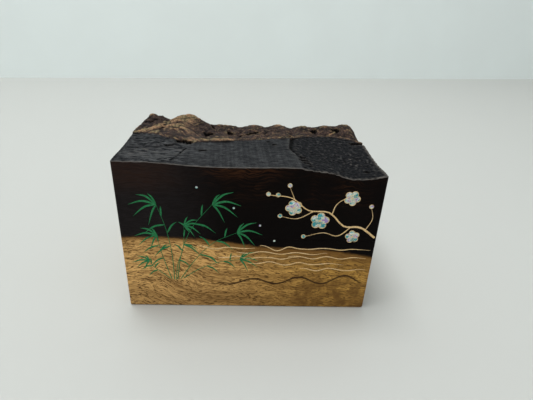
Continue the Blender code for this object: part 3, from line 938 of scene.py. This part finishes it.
# Each culm of bamboo grass: its points from the ground, the side that its leaves lean to, and their size
CULMS = (
    (((14.6, 10.6), (14.4, 20.0), (13.2, 29.0), (11.0, 37.0)), -1, 1.0),
    (((15.6, 10.8), (17.2, 20.5), (20.6, 29.5), (26.6, 37.4)), 1, 1.0),
    (((13.8, 10.9), (12.2, 17.0), (11.0, 22.4), (10.4, 26.8)), -1, 0.8),
    (((16.6, 11.0), (21.0, 18.0), (26.6, 24.4), (33.6, 28.2)), 1, 0.95),
    (((17.4, 11.2), (22.6, 15.0), (28.6, 17.6), (34.6, 18.6)), 1, 0.75),
    (((15.2, 10.7), (15.8, 16.0), (17.8, 22.6), (18.4, 30.4)), 1, 0.7),
    (((13.2, 11.2), (10.6, 13.6), (8.6, 15.4), (7.6, 17.6)), -1, 0.6),
)
CULM_WIDTH = 0.30
LEAF_LENGTH, LEAF_WIDTH = 7.4, 0.72
# How far a leaf strays in degrees and in length, and how far it droops, as a share of its length
LEAF_STRAY, LEAF_UNLIKE, LEAF_DROOP = 16, 0.25, 0.16
# Leaves at a culm's tip: direction and length. Leaves along it: place, direction and length
TIP_LEAVES = ((62, 0.62), (34, 0.95), (6, 1.08), (-24, 1.0), (-58, 0.78))
STEM_LEAVES = ((0.44, -30, 0.78), (0.60, 126, 0.70), (0.72, -18, 0.85), (0.86, 84, 0.62))
# Each plum bough: its points from the thick end, and its width there
BOUGHS = (
    (
        ((74.3, 27.4), (69.6, 30.8), (64.6, 31.2), (59.8, 35.6), (53.8, 36.2), (48.8, 40.0), (42.6, 40.8)),
        0.8,
    ),
    (((66.8, 31.0), (63.2, 27.8), (58.8, 28.8), (53.6, 27.4)), 0.42),
    (((60.6, 35.0), (62.0, 38.8), (66.6, 41.8)), 0.42),
    (((55.4, 36.0), (50.8, 33.4), (46.2, 34.0)), 0.36),
    (((49.8, 39.2), (48.0, 43.4)), 0.30),
    (((71.0, 29.8), (72.6, 33.8), (71.8, 37.4)), 0.34),
)
# Each blossom: its centre, radius and turn in degrees
BLOSSOMS = (
    ((57.4, 32.8), 2.7, 12),
    ((49.6, 36.9), 2.4, 40),
    ((65.8, 40.4), 2.3, -8),
    ((67.6, 27.6), 2.1, 28),
)
BUDS = ((42.2, 41.1), (45.8, 34.2), (48.0, 43.9), (71.7, 37.9), (53.1, 27.4), (44.9, 40.9))
BUD_RADIUS = 0.62
# A blossom's petals, and where each is centred and how round it is, as shares of the radius
PETALS, PETAL_REACH, PETAL_LOBE = 5, 0.58, 0.42
# Straight runs of a petal's line, and of the ring round a bud
ROUND_STEPS = 10
# Widths of a blossom's lines, and of the ring round a bud
PETAL_LINE, CREASE_LINE, STAMEN_LINE, BUD_LINE = 0.26, 0.16, 0.12, 0.2
# Stamens: length as a share of the blossom's radius, degrees to either side, and radius of the tip
STAMEN_LENGTH, STAMEN_SPREAD, ANTHER_RADIUS = 0.46, 15, 0.13
HEART_SHARE = 0.09
# How far the blossoms' and buds' lines and shell stand out, as shares of a plain line's relief
OUTLINE_RELIEF, SHELL_RELIEF = 1.3, 0.6
# Thickness of a set piece as a multiple of its relief, and its front's size as a share of its back's
FLUSH_THICKNESS, FLUSH_TAPER = 1.8, 0.97
DEW = ((32.6, 36.4), (40.2, 30.8), (22.4, 42.6), (44.6, 25.6))
DEW_RADIUS = 0.34
# Running water: the left end, right end and level of each line
WATER = (
    (40.5, 73.8, 23.0),
    (33.5, 61.0, 21.2),
    (49.0, 73.0, 19.8),
    (28.0, 52.5, 19.4),
    (37.0, 66.5, 17.4),
    (22.0, 39.0, 22.8),
    (53.0, 73.4, 15.4),
)
WATER_WIDTH, WAVE_LENGTH, WAVE_HEIGHT = 0.34, 9.5, 0.55
# Straight runs of a water line in each millimetre
WATER_STEPS = 3


def on_front(place, proud=0.0):
    """The point of the front that lies at this place."""
    return Vector((LEFT + place.x * MM, FRONT - proud, place.y * MM))


def heading(degrees):
    turn = math.radians(degrees)
    return Vector((math.cos(turn), math.sin(turn)))


def curve_through(points, steps):
    """Places along the smooth curve through the points."""
    points = places(*points)
    ends = [2 * points[0] - points[1], *points, 2 * points[-1] - points[-2]]
    path = []
    for before, start, end, after in zip(ends, ends[1:], ends[2:], ends[3:]):
        handles = start + (end - before) / 6, end - (after - start) / 6
        path += interpolate_bezier(start, *handles, end, steps + 1)[:-1]
    return path + [points[-1]]


def line_pressure(share):
    return smooth(-0.12, 0.15, share) * (1.0 - smooth(0.75, 1.08, share))


def leaf_pressure(share):
    return math.sin(math.pi * share**0.62) ** 0.85


def bough_pressure(share):
    return 1.0 - 0.72 * share


def petal_pressure(share):
    return 0.45 + 0.55 * math.sin(math.pi * share)


def brush_stroke(bm, path, width, pressure, rise):
    """Lays a flat tube along the path, half sunk in the wood and as wide as the brush is pressed."""
    last = len(path) - 1
    face = before = None
    for index, place in enumerate(path):
        ahead = (path[min(index + 1, last)] - path[max(index - 1, 0)]).normalized()
        half = max(LEAST_HALF_WIDTH, width / 2 * pressure(index / last)) * MM
        sides = Vector((-ahead.y, 0.0, ahead.x)) * half
        forward = Vector((ahead.x, 0.0, ahead.y)) * MM
        turn = Matrix((sides, Vector((0.0, -rise, 0.0)), forward)).transposed().to_4x4()
        section = Matrix.Translation(on_front(place)) @ turn
        if face is None:
            made = bmesh.ops.create_circle(
                bm, cap_ends=True, radius=1.0, segments=STROKE_SIDES, matrix=section
            )
            face = made["verts"][0].link_faces[0]
        else:
            made = bmesh.ops.extrude_face_region(bm, geom=[face])["geom"]
            face = next(part for part in made if isinstance(part, bmesh.types.BMFace))
            bmesh.ops.transform(bm, matrix=section @ before.inverted(), verts=face.verts)
        before = section


def set_flush(bm, centre, outline, rise, segments):
    """Sets a thin flat piece into the front. The outline gives its radius at an angle."""
    ring = bmesh.ops.create_circle(bm, cap_ends=True, radius=1.0, segments=segments)["verts"]
    for vertex in ring:
        angle = math.atan2(vertex.co.y, vertex.co.x)
        vertex.co = on_front(centre + vertex.co.xy * outline(angle), -rise)
    made = bmesh.ops.extrude_face_region(bm, geom=[ring[0].link_faces[0]])["geom"]
    front = [part for part in made if isinstance(part, bmesh.types.BMVert)]
    bmesh.ops.translate(bm, verts=front, vec=(0.0, -FLUSH_THICKNESS * rise, 0.0))
    pivot = Matrix.Translation(-on_front(centre))
    bmesh.ops.scale(bm, verts=front, vec=(FLUSH_TAPER, 1.0, FLUSH_TAPER), space=pivot)


def rosette(radius, turn):
    """Outline of five round petals: a radius for each angle."""
    reach, lobe = PETAL_REACH * radius, PETAL_LOBE * radius

    def outline(angle):
        fifth = 2 * math.pi / PETALS
        off = (angle - math.radians(turn) + fifth / 2) % fifth - fifth / 2
        return reach * math.cos(off) + math.sqrt(lobe**2 - (reach * math.sin(off)) ** 2)

    return outline


def leaf(bm, base, degrees, length, rise):
    """One leaf of bamboo grass, which springs from its base and droops at its tip."""
    unlike = grain_at(base.x + degrees, base.y, 1.7, 1.7, seed=24.0)
    ahead = heading(degrees + LEAF_STRAY * unlike) * length * (1.0 + LEAF_UNLIKE * unlike)
    droop = Vector((0.0, -LEAF_DROOP * length))
    path = curve_through([base, base + ahead * 0.5 - droop * 0.35, base + ahead + droop], 6)
    brush_stroke(bm, path, LEAF_WIDTH * (0.55 + 0.06 * length), leaf_pressure, rise)


def bamboo_grass(bm, rise):
    for points, lean, size in CULMS:
        path = curve_through(points, 6)
        brush_stroke(bm, path, CULM_WIDTH, bough_pressure, rise)
        leaves = [(1.0, *leaf) for leaf in TIP_LEAVES] + list(STEM_LEAVES)
        for place, degrees, share in leaves:
            base = path[round(place * (len(path) - 1))]
            leaf(bm, base, degrees if lean > 0 else 180 - degrees, LEAF_LENGTH * share * size, rise)


def blossom(bm, centre, radius, turn, rise):
    """Gold lines of a plum blossom: its petals drawn one by one, and its stamens."""
    outline = rosette(radius, turn)
    half = 180 / PETALS
    for petal in range(PETALS):
        axis = turn + 2 * half * petal
        around = [axis + half * (2 * step / ROUND_STEPS - 1) for step in range(ROUND_STEPS + 1)]
        path = [centre + heading(angle) * outline(math.radians(angle)) for angle in around]
        brush_stroke(bm, path, PETAL_LINE, petal_pressure, rise)
        notch = centre + heading(axis + half) * outline(math.radians(axis + half))
        crease = [centre.lerp(notch, share) for share in (0.55, 0.75, 1.0)]
        brush_stroke(bm, crease, CREASE_LINE, line_pressure, rise)
        for spread in (-STAMEN_SPREAD, STAMEN_SPREAD):
            tip = centre + heading(axis + spread) * radius * STAMEN_LENGTH
            brush_stroke(bm, [centre, centre.lerp(tip, 0.5), tip], STAMEN_LINE, bough_pressure, rise)
            set_flush(bm, tip, lambda angle: ANTHER_RADIUS, rise, segments=6)
    set_flush(bm, centre, lambda angle: HEART_SHARE * radius, rise, segments=10)


def water_line(bm, start, end, level, rise):
    """A line of running water, in even waves that die away to the right."""
    steps = round(WATER_STEPS * (end - start))
    path = []
    for step in range(steps + 1):
        share = step / steps
        place = start + (end - start) * share
        swell = 1.0 + 1.1 * grain_at(place, level, 7.0, 0.9, seed=29.0)
        swing = WAVE_HEIGHT * (1.0 - 0.6 * share) * swell
        wander = 1.2 * grain_at(place, level, 9.0, 1.3, seed=30.0)
        turn = 2 * math.pi * (place + 0.4 * level) / WAVE_LENGTH + wander
        path.append(Vector((place, level + swing * math.sin(turn))))
    brush_stroke(bm, path, WATER_WIDTH, line_pressure, rise)


def gold_lines(bm, rise):
    for points, width in BOUGHS:
        brush_stroke(bm, curve_through(points, 5), width, bough_pressure, rise)
    for centre, radius, turn in BLOSSOMS:
        blossom(bm, Vector(centre), radius, turn, OUTLINE_RELIEF * rise)
    for place in BUDS:
        turns = (360 / ROUND_STEPS * step for step in range(ROUND_STEPS + 1))
        ring = [Vector(place) + heading(turn) * BUD_RADIUS for turn in turns]
        brush_stroke(bm, ring, BUD_LINE, petal_pressure, OUTLINE_RELIEF * rise)
    for start, end, level in WATER:
        water_line(bm, start, end, level, rise)


def shell_inlay(bm, rise):
    for centre, radius, turn in BLOSSOMS:
        set_flush(bm, Vector(centre), rosette(radius, turn), SHELL_RELIEF * rise, segments=60)
    for place in BUDS:
        set_flush(bm, Vector(place), lambda angle: BUD_RADIUS, SHELL_RELIEF * rise, segments=20)
    for place in DEW:
        set_flush(bm, Vector(place), lambda angle: DEW_RADIUS, rise, segments=14)


def draw_on_front(context, name, material, slot, draw):
    """Draws on the front, and parts the drawing at the joint line, so that the lid takes its share."""
    rise, seam = context.scene.incense_drawing.rise, context.scene.incense_block.seam
    whole = bmesh.new()
    draw(whole, rise)
    bmesh.ops.recalc_face_normals(whole, faces=whole.faces)
    for half, up in (("lid", 1), ("lower_half", -1)):
        bm = whole.copy()
        everything = [*bm.verts, *bm.edges, *bm.faces]
        height = seam + up * SEAM_CLEARANCE
        cut = bmesh.ops.bisect_plane(
            bm, geom=everything, plane_co=(0, 0, height), plane_no=(0, 0, up), clear_inner=True
        )
        rim = [part for part in cut["geom_cut"] if isinstance(part, bmesh.types.BMEdge)]
        bmesh.ops.holes_fill(bm, edges=rim, sides=0)
        shade_smooth(bm, DRAWN_SHARPEST)
        if bm.faces:
            piece_from(bm, f"{name}_on_{half}", (material,), slot)
    whole.free()


# Operators


class INCENSE_OT_finishes(bpy.types.Operator):
    """Makes the materials of the wood, the lining and the drawing"""

    bl_idname = "incense.finishes"
    bl_label = "Finishes"

    def execute(self, context):
        for make in (figured_wood, top_wood, lining_lacquer):
            make(context.scene.incense_wood)
        for make in (gold_powder, green_lacquer, pearl_shell):
            make(context.scene.incense_drawing)
        return {"FINISHED"}


class INCENSE_OT_lower_half(bpy.types.Operator):
    """Makes the polished lower half with its lined hollow and its lip"""

    bl_idname = "incense.lower_half"
    bl_label = "Lower half"

    def execute(self, context):
        block = context.scene.incense_block
        top = block.seam - block.seam_gap / 2
        bm = bmesh.new()
        rim = open_block(bm, LOWER_LOW.z, top)
        lip_top = LOWER_HIGH.z
        land = [
            (LIP_EASE, lip_top),
            (LIP_THICKNESS - LIP_EASE, lip_top),
            (LIP_THICKNESS, lip_top - LIP_EASE),
            (LIP_THICKNESS, top),
        ]
        join_hollow(bm, rim, hollow_mesh("lower hollow", FLOOR, lip_top - LIP_EASE, land))
        piece_from(bm, "lower_half_wood", ("figured wood", "lining lacquer"), "lower_wood", "lower_half")
        return {"FINISHED"}


class INCENSE_OT_lid(bpy.types.Operator):
    """Makes the lid: its carved top, polished sides, rebate and lined hollow"""

    bl_idname = "incense.lid"
    bl_label = "Lid"

    def execute(self, context):
        block = context.scene.incense_block
        bottom = block.seam + block.seam_gap / 2
        bm = bmesh.new()
        carved_top(bm, block)
        top = set(bm.faces)
        rim, points = extruded(bm, [e for e in bm.edges if e.is_boundary])
        bmesh.ops.translate(bm, verts=points, vec=(0.0, 0.0, -block.arris))
        rim, points = extruded(bm, rim)
        for point in points:
            point.co.z = bottom + SEAM_EASE
        rim, points = extruded(bm, rim)
        drawn_in = (1 - 2 * SEAM_EASE / WIDTH, 1 - 2 * SEAM_EASE / DEPTH, 1.0)
        bmesh.ops.scale(bm, verts=points, vec=drawn_in)
        for point in points:
            point.co.z = bottom
        for face in bm.faces:
            if face not in top:
                face.material_index = 0
        rebate = LIP_THICKNESS + FIT_GAP
        lip_top = LOWER_HIGH.z + FIT_GAP
        land = [(rebate, lip_top), (rebate, bottom)]
        join_hollow(bm, rim, hollow_mesh("lid hollow", LID_CEILING, lip_top, land))
        piece_from(bm, "lid_wood", ("figured wood", "lining lacquer", "worked top"), "lid_wood", "lid")
        return {"FINISHED"}


class DrawsOnFront:
    """An operator that draws on the front: the drawing's name, material, slot and maker."""

    def execute(self, context):
        draw_on_front(context, *self.drawing)
        return {"FINISHED"}


class INCENSE_OT_bamboo_grass(DrawsOnFront, bpy.types.Operator):
    """Draws the bamboo grass in green lacquer on the front"""

    bl_idname = "incense.bamboo_grass"
    bl_label = "Bamboo grass"
    drawing = ("green", "green lacquer", "green_line", bamboo_grass)


class INCENSE_OT_gold_lines(DrawsOnFront, bpy.types.Operator):
    """Draws the plum bough and the running water in gold on the front"""

    bl_idname = "incense.gold_lines"
    bl_label = "Gold lines"
    drawing = ("gold", "gold powder", "gold_line", gold_lines)


class INCENSE_OT_shell_inlay(DrawsOnFront, bpy.types.Operator):
    """Sets the shell of the blossoms, the buds and the dew into the front"""

    bl_idname = "incense.shell_inlay"
    bl_label = "Shell inlay"
    drawing = ("shell", "pearl shell", "shell_inlay", shell_inlay)


# Camera, in the photograph's place
CAMERA_PLACE = Vector((-1.4, -123.98, 92.67)) * MM
CAMERA_YAW, CAMERA_PITCH, CAMERA_ROLL = (math.radians(v) for v in (3.214, 28.15, 2.955))
FOCAL_PIXELS = 406
IMAGE_WIDTH = 533
SENSOR = 36

WALL_DISTANCE = 0.328
WALL_TURN = math.radians(10.0)
FLOOR_HALF_WIDTH = 1.2
FLOOR_LENGTH = 1.6
WALL_HEIGHT = 0.8
ROOM_COLOUR = (0.97, 1.0, 0.99, 1.0)
# Place and size of each soft light
WINDOW = Vector((-0.16, 0.03, 0.95)), (0.5, 0.4)
FILL = Vector((-0.12, -0.90, 0.50)), (0.7, 0.5)


class INCENSE_OT_stage(bpy.types.Operator):
    """Makes the floor, the wall, the light and the camera"""

    bl_idname = "incense.stage"
    bl_label = "Stage"

    def execute(self, context):
        self.camera(context)
        self.backdrop(context)
        self.light(context)
        context.scene.view_settings.view_transform = "Standard"
        return {"FINISHED"}

    def camera(self, context):
        data = bpy.data.cameras.new("camera")
        data.sensor_width = SENSOR
        data.lens = FOCAL_PIXELS * SENSOR / IMAGE_WIDTH
        data.clip_start = MM
        camera = bpy.data.objects.new("camera", data)
        turn = Matrix.Rotation(-CAMERA_YAW, 4, "Z") @ Matrix.Rotation(math.pi / 2 - CAMERA_PITCH, 4, "X")
        roll = Matrix.Rotation(CAMERA_ROLL, 4, "Z")
        camera.matrix_world = Matrix.Translation(CAMERA_PLACE) @ turn @ roll
        context.scene.collection.objects.link(camera)
        context.scene.camera = camera

    def backdrop(self, context):
        stage = context.scene.incense_stage
        bm = bmesh.new()
        centre = Matrix.Translation((0.0, WALL_DISTANCE * math.cos(WALL_TURN) - FLOOR_LENGTH / 2, 0.0))
        size = Matrix.Diagonal((FLOOR_HALF_WIDTH, FLOOR_LENGTH / 2, 1.0, 1.0))
        bmesh.ops.create_grid(bm, x_segments=1, y_segments=1, size=1.0, matrix=centre @ size)
        back = max(bm.edges, key=lambda edge: min(v.co.y for v in edge.verts))
        points = extruded(bm, [back])[1]
        bmesh.ops.translate(bm, verts=points, vec=(0.0, 0.0, WALL_HEIGHT))
        bmesh.ops.rotate(bm, verts=bm.verts, matrix=Matrix.Rotation(WALL_TURN, 3, "Z"))
        for face in bm.faces:
            face.material_index = int(any(v in points for v in face.verts))
        mesh = mesh_from(bm, "backdrop")
        for name, colour in (("floor", stage.floor), ("wall", stage.wall)):
            w = Recipe(name)
            mottle = w.noise(w.millimetres(), scale=0.02, detail=3.0)
            shade = w.blend(w.between(mottle, 0.3, 0.7, 0.0, 0.06), colour, stage.mottle)
            mesh.materials.append(w.surface(Base_Color=shade, Roughness=0.6, Specular_IOR_Level=0.3))
        backdrop = bpy.data.objects.new("backdrop", mesh)
        context.scene.collection.objects.link(backdrop)

    def light(self, context):
        stage = context.scene.incense_stage
        world = bpy.data.worlds.new("room")
        world.use_nodes = True
        room = world.node_tree.nodes["Background"]
        room.inputs["Color"].default_value = ROOM_COLOUR
        room.inputs["Strength"].default_value = stage.sky
        context.scene.world = world
        for name, power, (place, size) in (("window", stage.window, WINDOW), ("fill", stage.fill, FILL)):
            data = bpy.data.lights.new(name, "AREA")
            data.energy = power
            data.shape = "RECTANGLE"
            data.size, data.size_y = size
            lamp = bpy.data.objects.new(name, data)
            turn = (-place).to_track_quat("-Z", "Y").to_matrix().to_4x4()
            lamp.matrix_world = Matrix.Translation(place) @ turn
            context.scene.collection.objects.link(lamp)


class INCENSE_PT_panel(bpy.types.Panel):
    bl_label = "Incense box"
    bl_space_type = "VIEW_3D"
    bl_region_type = "UI"
    bl_category = "Incense box"

    def draw(self, context):
        for operator in OPERATORS:
            self.layout.operator(operator.bl_idname)
        for group, settings in SETTINGS.items():
            for name in settings.__annotations__:
                self.layout.prop(getattr(context.scene, group), name)


SETTINGS = {
    "incense_block": BlockSettings,
    "incense_wood": WoodSettings,
    "incense_drawing": DrawingSettings,
    "incense_stage": StageSettings,
}
OPERATORS = (
    INCENSE_OT_finishes,
    INCENSE_OT_lower_half,
    INCENSE_OT_lid,
    INCENSE_OT_bamboo_grass,
    INCENSE_OT_gold_lines,
    INCENSE_OT_shell_inlay,
    INCENSE_OT_stage,
)


def register():
    for group, settings in SETTINGS.items():
        bpy.utils.register_class(settings)
        setattr(bpy.types.Scene, group, PointerProperty(type=settings))
    for operator in OPERATORS:
        bpy.utils.register_class(operator)
    bpy.utils.register_class(INCENSE_PT_panel)


def unregister():
    bpy.utils.unregister_class(INCENSE_PT_panel)
    for operator in reversed(OPERATORS):
        bpy.utils.unregister_class(operator)
    for group, settings in SETTINGS.items():
        delattr(bpy.types.Scene, group)
        bpy.utils.unregister_class(settings)


def main():
    register()
    for operator in OPERATORS:
        group, name = operator.bl_idname.split(".")
        getattr(getattr(bpy.ops, group), name)()


if __name__ == "__main__":
    main()
